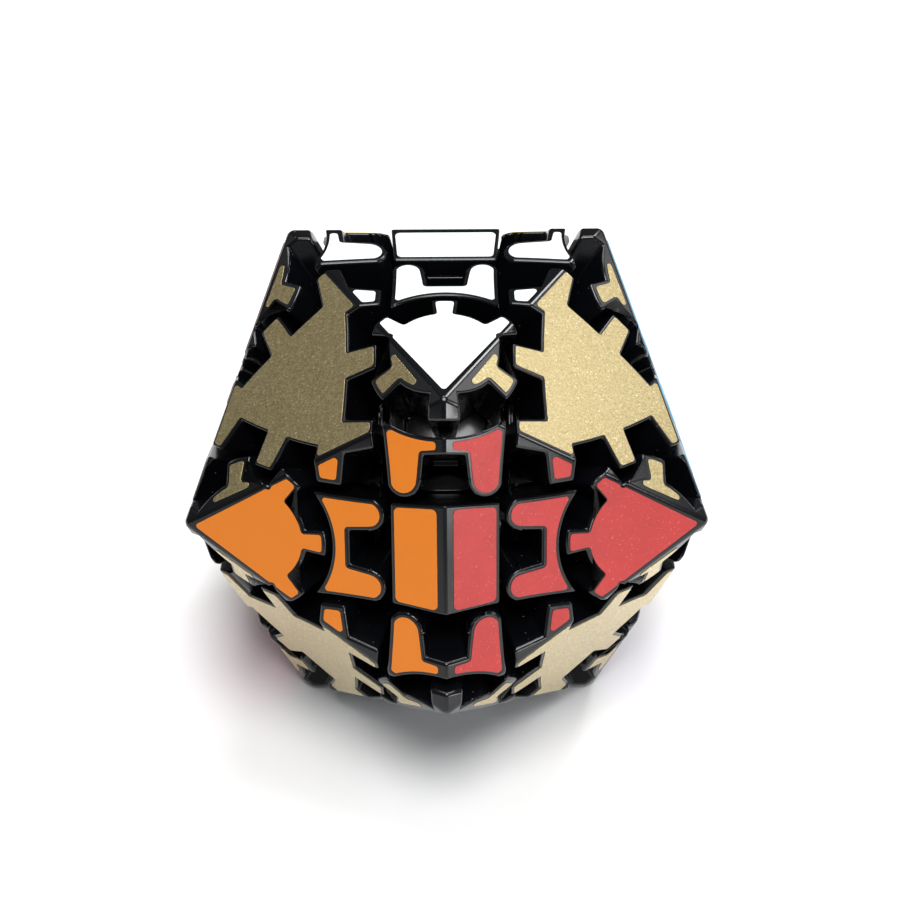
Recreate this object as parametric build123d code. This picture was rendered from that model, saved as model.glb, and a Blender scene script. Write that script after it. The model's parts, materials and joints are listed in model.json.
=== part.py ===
from build123d import *
import os
from math import atan, copysign, cos, degrees, radians, sin, sqrt, tan

os.makedirs("parts", exist_ok=True)

# A geared 3 x 3 x 3 puzzle in an icosahedral shell. Every cut in the shell is a plane or a
# cone through the centre, so each piece is described by directions, in degrees seen from there.
# The puzzle is modelled with its three turning axes along X, Y and Z, then tipped onto a face.

# Driving dimensions, in millimetres
SPAN = 80.0            # across two opposite ridges, on a turning axis
SHELL_INSIDE = 28.6    # radius where the conical cuts of the shell begin
MIDDLE_OUTSIDE = 28.0  # outer radius of the flat-cut sliding zone
MIDDLE_INSIDE = 19.0
FOOT_OUTSIDE = 18.6
FOOT_INSIDE = 12.0
CORE_RADIUS = 11.4
DECK_TOP = 29.0        # radius of the deck that each gear turns on
GEAR_FLOOR = 29.3
FILM = 0.12            # sticker thickness
FILM_SHAPES = {         # bare rim round a sticker, and the radius of its corners
    "centre_cap": (0.65, 0.8),
    "edge_base": (0.7, 0.45),
    "edge_gear": (0.6, 0.45),
    "corner": (0.5, 0.5),
}
FILM_SMALL_RIM = 0.8    # rim on faces smaller than this many square millimetres
FILM_SMALL_FACE = 60.0
FILM_RIDGE_INSET = 0.6  # added to the rim along the six long ridges
FILM_STEP = 0.8         # length of the chords that follow a curved cut
FILM_LEAST_FACE = 12.0  # smallest face that carries a sticker, in square millimetres

# Driving angles, in degrees
MIDDLE_LAT = 12.2      # half the height of a middle slice
TOOTH_TIP_LAT = 13.4   # ring teeth reach down to here
NOTCH_LAT = 22.3
NOTCH_ROOT, NOTCH_MOUTH = 4.3, 5.0  # half the notch between two prongs, at each end
CORNER_LAT = 21.7
CORNER_TOOTH_LAT = 14.4
RING_PITCH = 18.0      # twenty ring teeth, the first half a pitch from the centre piece
GEAR_TIP = 16.8
GEAR_ROOT = 12.0
GEAR_NECK, GEAR_NECK_HALF, GEAR_TIP_HALF = 12.5, 2.75, 3.3
CORNER_TOOTH_TIP, CORNER_TOOTH_ROOT = 3.0, 4.2  # half widths
RIDGE_CLEARANCE = 19.5  # the gear's clearance, to the arch that straddles a ridge
ARCH_CLEARANCE = 18.3   # and to the arch on one face
PRONG_RADIUS = 3.8

# Screws, pins and springs, in millimetres
STEM_RADIUS = 3.7
SKIRT_RADIUS = 8.7
SKIRT_GAP = 9.3
FOOT_HALF = 4.0
FOOT_GAP = 4.3
CAVITY_RADIUS = 4.6
CAVITY_FLOOR = 20.5
CAP_SEAM = 34.0
SCREW_RADIUS = 1.5
SCREW_HEAD_RADIUS = 3.6
SCREW_HEAD_FROM = 25.0
SCREW_HEAD_TO = 27.5
SCREW_END = 4.5
SPRING_RADIUS = 2.9
SPRING_WIRE = 0.4
PLUG_DEPTH = 3.0
PIN_RADIUS = 2.0
PIN_FROM = 22.0
PIN_TO = 34.0
RUNNING_GAP = 0.05
BEAD_RADIUS = 2.4
BEAD_FROM, BEAD_TO = 31.8, 32.8

GOLDEN = (1 + sqrt(5)) / 2
HALF_EDGE = SPAN / 2 / GOLDEN
FACE_DISTANCE = HALF_EDGE * GOLDEN**2 / sqrt(3)
REACH = SPAN
TIP_ANGLE = -degrees(atan(GOLDEN / (2 * GOLDEN + 1)))

CENTRE = Vector(0, 0, 0)
FRONT, UP, RIGHT = Vector(0, -1, 0), Vector(0, 0, 1), Vector(1, 0, 0)
GEAR_AXIS = (FRONT + UP).normalized()
CORNER_AXIS = (FRONT + UP + RIGHT).normalized()
REST_NORMAL = (-FRONT * GOLDEN - UP * (2 * GOLDEN + 1)).normalized()
FRONT_CHART = Plane(CENTRE, x_dir=RIGHT, z_dir=FRONT)
SIDES = {"top": UP, "bottom": -UP, "front": FRONT, "back": -FRONT, "left": -RIGHT, "right": RIGHT}


def polyhedron(loops):
    """A closed solid from flat faces, each a list of points."""
    return Solid(Shell([Face(Wire.make_polygon(loop)) for loop in loops]))


def icosahedron():
    """The outer form, with an edge square across each turning axis."""
    points = [
        long * HALF_EDGE * GOLDEN + short * HALF_EDGE
        for a, b in ((FRONT, UP), (UP, RIGHT), (RIGHT, FRONT))
        for long in (a, -a)
        for short in (b, -b)
    ]
    near = lambda p, q: abs((p - q).length - 2 * HALF_EDGE) < 0.01
    return polyhedron([
        [p, q, r]
        for i, p in enumerate(points)
        for j, q in enumerate(points[:i])
        for r in points[:j]
        if near(p, q) and near(q, r) and near(p, r)
    ])


def pyramid(chart, outline):
    """The directions inside an outline, drawn at unit distance along the chart's normal."""
    base = [chart.from_local_coords((x * REACH, y * REACH, REACH)) for x, y in outline]
    sides = [[CENTRE, p, q] for p, q in zip(base, base[1:] + base[:1])]
    return polyhedron([base] + sides)


def cone(axis, half_angle):
    """The directions within half_angle of an axis."""
    plane = Plane(CENTRE, z_dir=axis)
    return Solid.make_cone(0, REACH * tan(radians(half_angle)), REACH, plane)


def slice_disc(axis, latitude):
    """The directions within a latitude either side of the plane across an axis."""
    height = REACH * tan(radians(latitude))
    disc = Solid.make_cylinder(REACH, 2 * height, Plane(CENTRE - axis * height, z_dir=axis))
    return disc - cone(axis, 90 - latitude) - cone(-axis, 90 - latitude)


def shell(inside, outside):
    return Sphere(outside) - Sphere(inside)


def block(x, y, z):
    """A box from its limits along each axis."""
    size = [high - low for low, high in (x, y, z)]
    middle = [(high + low) / 2 for low, high in (x, y, z)]
    return Pos(*middle) * Box(*size)


def rod(axis, radius, start, end):
    return Solid.make_cylinder(radius, end - start, Plane(axis * start, z_dir=axis))


def chart_point(azimuth, latitude):
    """Where a direction falls on a chart whose normal has azimuth and latitude zero."""
    azimuth, latitude = radians(azimuth), radians(latitude)
    return tan(azimuth), tan(latitude) / cos(azimuth)


def edge_base(blank):
    """The front-top edge: a foot, a sliding block, and two forked arches round the gear."""
    rim, deck = SKIRT_GAP, SKIRT_GAP + 0.5
    foot = block((-FOOT_HALF, FOOT_HALF), (-REACH, -FOOT_GAP), (FOOT_GAP, REACH))
    stem = block((-FOOT_HALF, FOOT_HALF), (-REACH, -rim), (rim, REACH))
    slider = block((-SKIRT_RADIUS, SKIRT_RADIUS), (-REACH, -rim), (rim, REACH))
    neck = slice_disc(RIGHT, MIDDLE_LAT) & block((-REACH, REACH), (-REACH, -deck), (deck, REACH))
    inner = (
        (foot & shell(FOOT_INSIDE, FOOT_OUTSIDE))
        + (stem & shell(FOOT_OUTSIDE - 0.5, MIDDLE_INSIDE + 0.5))
        + (slider & shell(MIDDLE_INSIDE, MIDDLE_OUTSIDE))
        + (neck & shell(MIDDLE_OUTSIDE - 0.5, DECK_TOP))
    )
    front_fork = fork(RIDGE_CLEARANCE)
    top_fork = fork(ARCH_CLEARANCE).mirror(Plane(CENTRE, z_dir=FRONT - UP))
    pin_hole = rod(GEAR_AXIS, PIN_RADIUS, PIN_FROM, REACH)
    return inner + (front_fork & blank) + (top_fork & blank) - pin_hole


def fork(clearance):
    """On the front chart, two prongs and the bar that joins them, curved round the gear."""
    tip_lat = TOOTH_TIP_LAT + PRONG_RADIUS
    notch_y, bar_top = tan(radians(NOTCH_LAT)), tan(radians(32))
    shape = pyramid(FRONT_CHART, [(-0.4, notch_y), (0.4, notch_y), (0.4, bar_top), (-0.4, bar_top)])
    tips = []
    for side in (1, -1):
        corners = [(NOTCH_MOUTH, tip_lat), (NOTCH_ROOT, NOTCH_LAT + 1), (18, NOTCH_LAT + 1), (18, tip_lat)]
        shape += pyramid(FRONT_CHART, [chart_point(side * azimuth, lat) for azimuth, lat in corners])
        x, y = chart_point(side * RING_PITCH / 2, tip_lat)
        tips.append(cone((FRONT + RIGHT * x + UP * y).normalized(), PRONG_RADIUS))
    return (shape - cone(GEAR_AXIS, clearance) + tips) & slice_disc(RIGHT, MIDDLE_LAT)


def gear(blank):
    """The spinning gear: a round hub and three bars across it that make six teeth."""
    chart = Plane(CENTRE, x_dir=FRONT - UP, z_dir=GEAR_AXIS)
    neck, tip = (tan(radians(angle)) for angle in (GEAR_NECK, GEAR_TIP))
    half, tip_half = (tan(radians(angle)) for angle in (GEAR_NECK_HALF, GEAR_TIP_HALF))
    flare = (tip_half - half) / (tip - neck)
    reach, waist = 1.2 * tip, half - neck * flare
    end = waist + reach * flare
    bar = pyramid(chart, [(-reach, -end), (0, -waist), (reach, -end), (reach, end), (0, waist), (-reach, end)])
    shape = cone(GEAR_AXIS, GEAR_ROOT)
    for angle in (0, 60, 120):
        shape += bar.rotate(Axis(CENTRE, GEAR_AXIS), angle)
    body = (shape & cone(GEAR_AXIS, GEAR_TIP) & blank) - Sphere(GEAR_FLOOR)
    bore = rod(GEAR_AXIS, PIN_RADIUS + RUNNING_GAP, CORE_RADIUS, PIN_TO + 0.2)
    groove = rod(GEAR_AXIS, BEAD_RADIUS + 2 * RUNNING_GAP, BEAD_FROM - 0.1, BEAD_TO + 0.1)
    return body - bore - groove


def gear_pin():
    """The snap pin pressed into an edge base, which the gear turns on."""
    return rod(GEAR_AXIS, PIN_RADIUS, PIN_FROM, PIN_TO) + rod(GEAR_AXIS, BEAD_RADIUS, BEAD_FROM, BEAD_TO)


def corner(blank):
    """The front-top-right corner, with three ring teeth about each turning axis."""
    body = cone(FRONT, 90 - CORNER_LAT) & cone(UP, 90 - CORNER_LAT) & cone(RIGHT, 90 - CORNER_LAT)
    outer = body
    low, high = tan(radians(CORNER_TOOTH_LAT)), tan(radians(CORNER_LAT + 1.5))
    narrow, wide = tan(radians(CORNER_TOOTH_TIP)), tan(radians(CORNER_TOOTH_ROOT))
    for turn in (0, 120, 240):
        for pitch in (1.5, 2.5, 3.5):
            azimuth = radians(pitch * RING_PITCH)
            out = FRONT * cos(azimuth) + RIGHT * sin(azimuth)
            chart = Plane(CENTRE, x_dir=RIGHT * cos(azimuth) - FRONT * sin(azimuth), z_dir=out)
            tooth = pyramid(chart, [(-narrow, low), (narrow, low), (wide, high), (-wide, high)])
            outer += tooth.rotate(Axis(CENTRE, CORNER_AXIS), turn)
    foot = block((FOOT_GAP, REACH), (-REACH, -FOOT_GAP), (FOOT_GAP, REACH))
    slider = block((SKIRT_GAP, REACH), (-REACH, -SKIRT_GAP), (SKIRT_GAP, REACH))
    return (
        (outer & blank)
        + (foot & shell(FOOT_INSIDE, FOOT_OUTSIDE))
        + (slider & shell(FOOT_OUTSIDE - 1, MIDDLE_OUTSIDE))
        + (body & shell(MIDDLE_OUTSIDE - 0.5, SHELL_INSIDE + 0.5))
    )


def square_column():
    half = tan(radians(MIDDLE_LAT))
    return pyramid(FRONT_CHART, [(-half, -half), (half, -half), (half, half), (-half, half)])


def centre_base():
    """The front centre: a stem on the core, a round skirt, and a hollow square column."""
    below_seam = block((-REACH, REACH), (-CAP_SEAM, 0), (-REACH, REACH))
    column = (square_column() & below_seam) - Sphere(MIDDLE_OUTSIDE - 0.5)
    skirt = rod(FRONT, SKIRT_RADIUS, FOOT_INSIDE, REACH) & shell(MIDDLE_INSIDE, MIDDLE_OUTSIDE)
    stem = rod(FRONT, STEM_RADIUS, FOOT_INSIDE + RUNNING_GAP, CAVITY_FLOOR)
    cavity = rod(FRONT, CAVITY_RADIUS, CAVITY_FLOOR, REACH)
    screw_hole = rod(FRONT, SCREW_RADIUS + 2 * RUNNING_GAP, 0, REACH)
    return column + skirt + stem - cavity - screw_hole


def centre_cap(blank):
    """The ridged cap that closes a centre over its screw."""
    above_seam = block((-REACH, REACH), (-REACH, -CAP_SEAM), (-REACH, REACH))
    plug = rod(FRONT, CAVITY_RADIUS - RUNNING_GAP, CAP_SEAM - PLUG_DEPTH, CAP_SEAM + 1)
    return (square_column() & above_seam & blank) + plug


def core():
    """The ball at the middle, with a tapped post for each centre."""
    shape = Sphere(CORE_RADIUS)
    holes = []
    for axis in (FRONT, -FRONT, UP, -UP, RIGHT, -RIGHT):
        shape += rod(axis, STEM_RADIUS, 0, FOOT_INSIDE)
        holes.append(rod(axis, SCREW_RADIUS - 0.1, SCREW_END, REACH))
    return shape - holes


def screw():
    head = rod(FRONT, SCREW_HEAD_RADIUS, SCREW_HEAD_FROM, SCREW_HEAD_TO)
    drive = rod(FRONT, SCREW_RADIUS * 0.8, SCREW_HEAD_TO - 1.4, SCREW_HEAD_TO)
    return rod(FRONT, SCREW_RADIUS, SCREW_END, SCREW_HEAD_FROM) + head - drive


def spring():
    """The coil that presses a centre onto the core."""
    height = SCREW_HEAD_FROM - CAVITY_FLOOR - 2 * SPRING_WIRE
    path = Helix(pitch=height / 3, height=height, radius=SPRING_RADIUS)
    start = path.position_at(0)
    wire = Plane(start, z_dir=path.tangent_at(0)) * Circle(SPRING_WIRE)
    coil = sweep(wire, path=path, is_frenet=True)
    return Plane(FRONT * (CAVITY_FLOOR + SPRING_WIRE), z_dir=FRONT) * coil


def outline(face, normal):
    """A face's outline as a polygon, held back from the long ridges."""
    points = []
    for edge in face.outer_wire().order_edges():
        steps = 1 if edge.geom_type == GeomType.LINE else max(2, int(edge.length / FILM_STEP))
        for i in range(steps):
            point = edge.position_at(i / steps)
            if max(abs(point.X), abs(point.Y), abs(point.Z)) > SPAN / 2 - 0.01:
                ridge = min((FRONT, UP, RIGHT), key=lambda axis: abs(axis.dot(normal)))
                across = ridge.cross(normal)
                point += across * copysign(FILM_RIDGE_INSET, across.dot(face.center() - point))
            points.append(point)
    return Face(Wire.make_polygon(points))


def films(piece, rim, radius):
    """A sticker on each flat outer face of a piece, set in from its edges."""
    stickers = []
    for face in piece.faces().filter_by(GeomType.PLANE):
        normal = face.normal_at()
        if abs(normal.dot(face.center()) - FACE_DISTANCE) > 0.01 or face.area < FILM_LEAST_FACE:
            continue
        bare = FILM_SMALL_RIM if face.area < FILM_SMALL_FACE else rim
        inner = offset(outline(face, normal), -bare - radius, kind=Kind.ARC)
        stickers += extrude(offset(inner, radius, kind=Kind.ARC), FILM, dir=normal).solids()
    return stickers


def place(piece, turn, flip):
    """One of the twelve placings that carry the shell onto itself, ridge onto ridge."""
    turned = piece.rotate(Axis(CENTRE, CORNER_AXIS), turn)
    return turned.rotate(Axis(CENTRE, flip), 180) if flip else turned


def spots(axis):
    """Where the placings carry a piece that points along an axis, by the sides it then faces."""
    found = {}
    for turn in (0, 120, 240):
        for flip in (None, RIGHT, UP, FRONT):
            direction = place(Vertex(*axis), turn, flip).center()
            names = [name for name, side in SIDES.items() if direction.dot(side) > 0.3]
            found.setdefault("_".join(names), (turn, flip))
    return found


def layer_of(spot):
    side = spot.split("_")[0]
    return side if side in ("top", "bottom") else "middle"


def film_group(name, spot, film):
    """Films are grouped by the body they ride on, and those under the puzzle stay apart."""
    if film.center().dot(REST_NORMAL) > FACE_DISTANCE:
        return "stickers_rest_face"
    layer = layer_of(spot)
    return f"stickers_gear_{spot}" if (layer, name) == ("middle", "edge_gear") else f"stickers_{layer}"


def save(name, solids):
    tipped = [solid.rotate(Axis.X, TIP_ANGLE) for solid in solids]
    export_step(tipped[0] if len(tipped) == 1 else Compound(children=tipped), f"parts/{name}.step")


blank = icosahedron() - Sphere(SHELL_INSIDE)
right_corner = corner(blank)
left_corner_axis = (FRONT + UP - RIGHT).normalized()
kinds = [
    (FRONT, {"centre_base": centre_base(), "centre_cap": centre_cap(blank)}, {"spring": spring()}),
    (GEAR_AXIS, {"edge_base": edge_base(blank), "edge_gear": gear(blank)}, {"gear_pins": gear_pin()}),
    (CORNER_AXIS, {"corner": right_corner}, {}),
    (left_corner_axis, {"corner": right_corner.mirror(Plane.YZ)}, {}),
]
groups = {"core": [core()]}
groups["centre_screws"] = [place(screw(), *placing) for placing in spots(FRONT).values()]
for axis, shells, inner_pieces in kinds:
    for spot, placing in spots(axis).items():
        for name, piece in shells.items():
            groups[f"{name}_{spot}"] = [place(piece, *placing)]
            for film in films(piece, *FILM_SHAPES.get(name, (0, 0))):
                moved = place(film, *placing)
                groups.setdefault(film_group(name, spot, moved), []).append(moved)
        for name, piece in inner_pieces.items():
            groups.setdefault(f"{name}_{layer_of(spot)}", []).append(place(piece, *placing))
for name, solids in groups.items():
    save(name, solids)
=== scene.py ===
"""Looks for the icosahedral gear puzzle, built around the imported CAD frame."""

import json
import math

import bpy
from mathutils import Matrix, Vector


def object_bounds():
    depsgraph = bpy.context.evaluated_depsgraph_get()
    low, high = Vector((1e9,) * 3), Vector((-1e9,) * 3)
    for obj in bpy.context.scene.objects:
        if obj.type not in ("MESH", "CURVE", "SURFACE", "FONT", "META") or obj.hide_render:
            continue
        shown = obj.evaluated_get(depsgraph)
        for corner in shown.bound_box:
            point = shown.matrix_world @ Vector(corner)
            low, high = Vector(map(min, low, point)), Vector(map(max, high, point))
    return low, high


MM = 0.001

# Rounded edges: width and number of steps, and what counts as one point, as flat and as sharp.
BODY_BEVEL, BODY_STEPS = 0.42 * MM, 3
FILM_BEVEL, FILM_STEPS = 0.04 * MM, 1
WELD_DISTANCE = 0.002 * MM
FLAT_ANGLE = math.radians(0.6)
SHARP_ANGLE = math.radians(32)

# The camera stands where it sees the puzzle as photographed. Angles in degrees, lens in mm.
CAMERA_DISTANCE = 295.2 * MM
CAMERA_AZIMUTH, CAMERA_ELEVATION = 0.83, 40.98
CAMERA_AIM = Vector((0.4, 1.8, 2.1)) * MM
CAMERA_ROLL = 0.76
CAMERA_LENS, CAMERA_SENSOR = 71.43, 36
CAMERA_NEAREST = 10 * MM

# Softboxes: azimuth, elevation, distance, width and height in metres, and power in watts.
SOFTBOXES = {
    "front": (8, 68, 1.0, 0.45, 0.45, 9.0),
    "back": (175, 76, 0.9, 0.35, 0.35, 3.6),
    "key": (104, 31, 0.7, 0.26, 0.22, 0.66),
    "low_right": (33, 5, 0.38, 0.06, 0.06, 0.22),
    "side": (66, 22, 0.7, 0.12, 0.12, 0.6),
    "left": (-105, 34, 0.8, 0.4, 0.3, 0.14),
    "edge": (140, 48, 0.8, 0.18, 0.18, 2.0),
}
ROOM_COLOUR, ROOM_STRENGTH = (0.98, 0.99, 1.0, 1), 0.13
FLOOR_COLOUR = (0.93, 0.93, 0.93, 1)
FLOOR_HALF = 2.5  # metres

# How strongly a film's colour is mottled with painted reflection and pale specks, and the colour of
# those specks.
STRONG_MOTTLE, FAINT_MOTTLE = 1.0, 0.2
SPECK = (0.9, 0.8, 0.8, 1)

METAL_NODES = ("centre_screws", "spring", "gear_pins")
UNSOFTENED_NODES = ("spring", "core")

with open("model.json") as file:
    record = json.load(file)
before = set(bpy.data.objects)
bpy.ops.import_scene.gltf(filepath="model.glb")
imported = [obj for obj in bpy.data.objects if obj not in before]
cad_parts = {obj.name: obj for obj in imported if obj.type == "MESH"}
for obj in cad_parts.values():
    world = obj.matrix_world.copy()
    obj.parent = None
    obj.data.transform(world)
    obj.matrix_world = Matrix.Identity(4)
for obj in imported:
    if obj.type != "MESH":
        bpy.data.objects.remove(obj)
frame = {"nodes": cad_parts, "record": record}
cad_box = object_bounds()

UP = Vector(frame["record"]["behaviour"]["joints"][0]["axis"]).normalized()
RIGHT = Vector((1, 0, 0))
FRONT = RIGHT.cross(UP)
GOLDEN = (1 + math.sqrt(5)) / 2


def direction(azimuth, elevation):
    """A unit vector towards an azimuth (0 is the front, positive to the right) and elevation."""
    a, e = math.radians(azimuth), math.radians(elevation)
    return Vector((math.sin(a) * math.cos(e), -math.cos(a) * math.cos(e), math.sin(e)))


def aimed(obj, place, target, roll=0.0):
    """Puts an object at a place with its -Z axis on a target."""
    turn = (Vector(target) - Vector(place)).to_track_quat("-Z", "Y").to_matrix().to_4x4()
    obj.matrix_world = Matrix.Translation(place) @ turn @ Matrix.Rotation(math.radians(roll), 4, "Z")


def add_camera():
    camera = bpy.data.objects.new("camera", bpy.data.cameras.new("camera"))
    camera.data.lens = CAMERA_LENS
    camera.data.sensor_width = CAMERA_SENSOR
    camera.data.clip_start = CAMERA_NEAREST
    bpy.context.collection.objects.link(camera)
    place = direction(CAMERA_AZIMUTH, CAMERA_ELEVATION) * CAMERA_DISTANCE
    aimed(camera, place, CAMERA_AIM, -CAMERA_ROLL)
    bpy.context.scene.camera = camera


# ---------------------------------------------------------------- materials


class Nodes:
    """A material's node tree with short calls for the nodes used here."""

    def __init__(self, name):
        self.material = bpy.data.materials.new(name)
        self.material.use_nodes = True
        self.tree = self.material.node_tree
        self.shader = self.tree.nodes["Principled BSDF"]
        coords = self.tree.nodes.new("ShaderNodeTexCoord")
        self.place = coords.outputs["Object"]

    def link(self, value, socket):
        if hasattr(value, "links"):
            self.tree.links.new(value, socket)
        else:
            socket.default_value = value

    def set(self, **values):
        for name, value in values.items():
            self.link(value, self.shader.inputs[name.replace("_", " ")])

    def add(self, kind, output, **inputs):
        node = self.tree.nodes.new("ShaderNode" + kind)
        for name, value in inputs.items():
            self.link(value, node.inputs[name.replace("_", " ")])
        return node.outputs[output]

    def noise(self, scale, detail=3.0, roughness=0.5, place=None):
        return self.add("TexNoise", "Fac", Vector=place or self.place, Scale=scale, Detail=detail,
                        Roughness=roughness)

    def span(self, value, low, high, start=0.0, end=1.0):
        """Maps value from start..end onto low..high."""
        node = self.tree.nodes.new("ShaderNodeMapRange")
        for index, item in enumerate((value, start, end, low, high)):
            self.link(item, node.inputs[index])
        return node.outputs[0]

    def mix(self, factor, first, second):
        node = self.tree.nodes.new("ShaderNodeMix")
        node.data_type = "RGBA"
        for index, item in ((0, factor), (6, first), (7, second)):
            self.link(item, node.inputs[index])
        return node.outputs[2]

    def bump(self, height, strength, distance, normal=None):
        node = self.tree.nodes.new("ShaderNodeBump")
        self.link(height, node.inputs["Height"])
        node.inputs["Strength"].default_value = strength
        node.inputs["Distance"].default_value = distance
        if normal:
            self.link(normal, node.inputs["Normal"])
        return node.outputs["Normal"]


def rgb(red, green, blue):
    """A colour given as it looks on screen, from 0 to 255."""
    def linear(c):
        c /= 255
        return c / 12.92 if c < 0.04045 else ((c + 0.055) / 1.055) ** 2.4
    return (linear(red), linear(green), linear(blue), 1.0)


def black_plastic():
    m = Nodes("black_plastic")
    skin = m.noise(420, 4)
    cloud = m.noise(90, 3)
    dust = m.span(m.noise(1500, 2), 0, 0.6, 0.745, 0.77)
    m.set(
        Base_Color=m.mix(dust, m.mix(cloud, rgb(4, 5, 8), rgb(10, 11, 14)), rgb(120, 122, 126)),
        Roughness=m.span(cloud, 0.15, 0.25, 0.3, 0.7),
        IOR=1.42,
        Coat_Weight=0.08,
        Coat_Roughness=0.06,
        Normal=m.bump(skin, 0.35, 0.02 * MM),
    )
    return m.material


def vinyl(name, colour, painted_reflection_and_specks):
    """Flat coloured film with a soft sheen, its colour mottled with painted reflection and dotted with
    pale specks.
    """
    m = Nodes(name)
    # Painted reflection: the film's colour mottles between a darker and a lighter copy of itself.
    reflection_mottle = m.span(m.noise(210, 6, 0.75), 0, 1, 0.3, 0.7)
    speckle = m.span(m.noise(2600, 2), 0, 0.12 * painted_reflection_and_specks, 0.63, 0.74)
    dark = [c * (1 - 0.14 * painted_reflection_and_specks) for c in colour[:3]] + [1.0]
    light = [min(1.0, c * (1 + 0.08 * painted_reflection_and_specks)) for c in colour[:3]] + [1.0]
    m.set(
        Base_Color=m.mix(speckle, m.mix(reflection_mottle, dark, light), SPECK),
        Specular_IOR_Level=0.4,
        Roughness=m.span(m.noise(2600, 2), 0.34, 0.48, 0.3, 0.7),
        Normal=m.bump(m.noise(1300, 3), 0.3, 0.015 * MM),
    )
    return m.material


def gold_film():
    """Metallic film with fine slanting flakes, a few of them with a painted glint."""
    m = Nodes("gold_film")
    slant = m.add("Mapping", "Vector", Vector=m.place, Rotation=(0.5, 0.6, 0.7), Scale=(1.0, 1.5, 1.0))
    flakes = m.add("TexVoronoi", "Color", Vector=slant, Scale=4600)
    value = m.add("SeparateColor", 0, Color=flakes)
    painted_glint_pick = m.add("SeparateColor", 1, Color=flakes)
    streak = m.noise(1500, 4, 0.65, place=slant)
    tone = m.mix(value, rgb(146, 128, 82), rgb(216, 200, 154))
    tone = m.mix(m.span(streak, 0, 0.6, 0.35, 0.65), tone, rgb(180, 162, 115))
    m.set(
        # Painted highlight: a few flakes get a pale glint colour painted into the base colour.
        Base_Color=m.mix(m.span(painted_glint_pick, 0, 0.55, 0.97, 0.98), tone, rgb(255, 250, 222)),
        Metallic=0.92,
        Roughness=m.span(value, 0.30, 0.46),
        Coat_Weight=0.3,
        Coat_Roughness=0.3,
        Normal=m.bump(streak, 0.3, 0.03 * MM, m.bump(value, 0.2, 0.01 * MM)),
    )
    return m.material


def steel():
    m = Nodes("steel")
    scratch = m.noise(1500, 3)
    m.set(Base_Color=rgb(180, 180, 184), Metallic=1.0, Roughness=m.span(scratch, 0.25, 0.4),
          Normal=m.bump(scratch, 0.2, 0.01 * MM))
    return m.material


# ---------------------------------------------------------------- stickers

RIDGE_COLOURS = {
    "white": (UP, FRONT, rgb(224, 231, 233)),
    "orange": (FRONT, -RIGHT, rgb(214, 117, 15)),
    "red": (FRONT, RIGHT, rgb(176, 44, 41)),
    "yellow": (UP, -FRONT, rgb(236, 204, 60)),
    "sky_blue": (RIGHT, UP, rgb(104, 176, 214)),
    "brown": (-RIGHT, UP, rgb(120, 78, 52)),
    "purple": (RIGHT, -UP, rgb(118, 70, 150)),
    "pink": (-RIGHT, -UP, rgb(228, 128, 160)),
    "grey": (-UP, FRONT, rgb(140, 144, 150)),
    "blue": (-UP, -FRONT, rgb(38, 84, 168)),
    "lime": (-FRONT, -RIGHT, rgb(150, 196, 66)),
    "green": (-FRONT, RIGHT, rgb(38, 140, 78)),
}


def face_normals():
    """The outward normals of the twenty faces, with the film that each one carries."""
    faces = [(FRONT * a + UP * b + RIGHT * c, "gold") for a in (1, -1) for b in (1, -1) for c in (1, -1)]
    faces += [(main * (2 * GOLDEN + 1) + side * GOLDEN, name)
              for name, (main, side, _) in RIDGE_COLOURS.items()]
    return [(normal.normalized(), name) for normal, name in faces]


def colour_films(node, films, faces):
    """Gives each sticker of a node the film of the face that it lies on."""
    names = list(films)
    mesh = node.data
    mesh.materials.clear()
    for name in names:
        mesh.materials.append(films[name])
    for polygon in mesh.polygons:
        place = polygon.center
        polygon.material_index = names.index(max(faces, key=lambda face: face[0].dot(place))[1])


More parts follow.
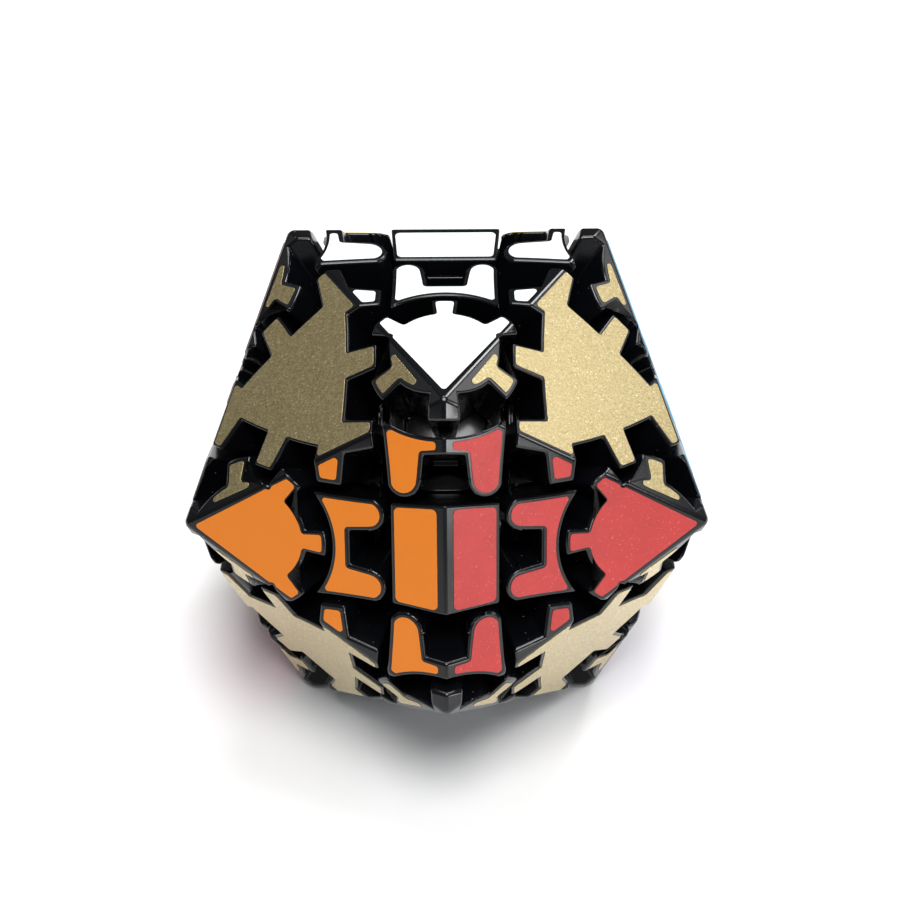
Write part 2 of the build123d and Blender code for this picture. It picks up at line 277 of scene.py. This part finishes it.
def soften(node, width, steps):
    """Rounds a node's sharp edges with modifiers, and leaves its mesh alone."""
    for polygon in node.data.polygons:
        polygon.use_smooth = True
    weld = node.modifiers.new("weld", "WELD")
    weld.merge_threshold = WELD_DISTANCE
    flat = node.modifiers.new("flat", "DECIMATE")
    flat.decimate_type = "DISSOLVE"
    flat.angle_limit = FLAT_ANGLE
    bevel = node.modifiers.new("bevel", "BEVEL")
    bevel.width = width
    bevel.segments = steps
    bevel.limit_method = "ANGLE"
    bevel.angle_limit = SHARP_ANGLE
    bevel.use_clamp_overlap = False
    bevel.harden_normals = True
    normals = node.modifiers.new("normals", "WEIGHTED_NORMAL")
    normals.keep_sharp = False


def dress_nodes():
    plastic, metal = black_plastic(), steel()
    films = {name: vinyl(f"film_{name}", colour, STRONG_MOTTLE if name == "red" else FAINT_MOTTLE)
             for name, (_, _, colour) in RIDGE_COLOURS.items()}
    films["gold"] = gold_film()
    faces = face_normals()
    for name, node in frame["nodes"].items():
        if name.startswith("stickers"):
            colour_films(node, films, faces)
            soften(node, FILM_BEVEL, FILM_STEPS)
            continue
        node.data.materials.clear()
        node.data.materials.append(metal if name.startswith(METAL_NODES) else plastic)
        if not name.startswith(UNSOFTENED_NODES):
            soften(node, BODY_BEVEL, BODY_STEPS)


# ---------------------------------------------------------------- room


def add_floor():
    mesh = bpy.data.meshes.new("floor")
    half, low = FLOOR_HALF, cad_box[0][2]
    mesh.from_pydata([(-half, -half, low), (half, -half, low), (half, half, low), (-half, half, low)],
                     [], [(0, 1, 2, 3)])
    floor = bpy.data.objects.new("floor", mesh)
    bpy.context.collection.objects.link(floor)
    m = Nodes("floor")
    m.set(Base_Color=FLOOR_COLOUR, Roughness=m.span(m.noise(12, 2), 0.55, 0.65))
    mesh.materials.append(m.material)


def add_softbox(name, azimuth, elevation, distance, width, height, power):
    data = bpy.data.lights.new(name, "AREA")
    data.shape = "RECTANGLE"
    data.size, data.size_y, data.energy = width, height, power
    light = bpy.data.objects.new(name, data)
    bpy.context.collection.objects.link(light)
    aimed(light, direction(azimuth, elevation) * distance, (0, 0, 0))


def light_room():
    world = bpy.data.worlds.new("room")
    bpy.context.scene.world = world
    world.use_nodes = True
    background = world.node_tree.nodes["Background"]
    background.inputs["Color"].default_value = ROOM_COLOUR
    background.inputs["Strength"].default_value = ROOM_STRENGTH
    for name, box in SOFTBOXES.items():
        add_softbox(name, *box)
    bpy.context.scene.view_settings.view_transform = "Standard"


add_camera()
dress_nodes()
add_floor()
light_room()
